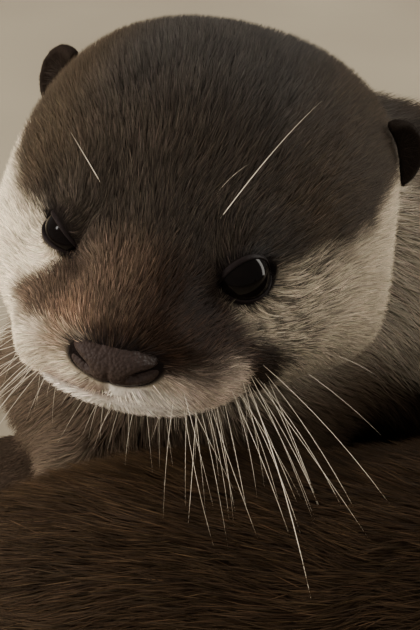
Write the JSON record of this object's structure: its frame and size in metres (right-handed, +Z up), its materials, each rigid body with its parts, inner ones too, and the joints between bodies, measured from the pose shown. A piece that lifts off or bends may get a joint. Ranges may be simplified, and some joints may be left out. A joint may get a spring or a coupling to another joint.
{
  "type": "otter model",
  "caption": "Life-size model of a small-clawed otter lying curled on its belly, its head raised level over its own hips and its tail wrapped round one side.",
  "frame": {"origin": "middle of the animal's bounding box, on the floor it lies on", "axes": "+Z up; the face looks to -Y, the flank of the curl is at +X and the tail runs round at -X"},
  "size_m": [0.2926, 0.2822, 0.1605],
  "materials": {
    "fur": "short dense dark brown fur",
    "pale_fur": "short cream fur",
    "foot": "thin close brown fur over bare soles",
    "nose": "bare moist dark skin",
    "eye": "wet, nearly black",
    "ear": "thin dark fur"
  },
  "bodies": {
    "root": {"head": "fur", "lower_jaw": "pale_fur", "nose": "nose", "eye_left": "eye", "eye_right": "eye", "ear_left": "ear", "ear_right": "ear", "neck": "fur", "shoulders": "fur", "chest": "fur", "ribs": "fur", "loin": "fur", "hips": "fur", "tail_root": "fur", "tail_middle": "fur", "tail_end": "fur", "foreleg_left": "fur", "foreleg_right": "fur", "forepaw_left": "foot", "forepaw_right": "foot", "hindleg_left": "fur", "hindleg_right": "fur", "hindfoot_left": "foot", "hindfoot_right": "foot"}
  },
  "joints": []
}
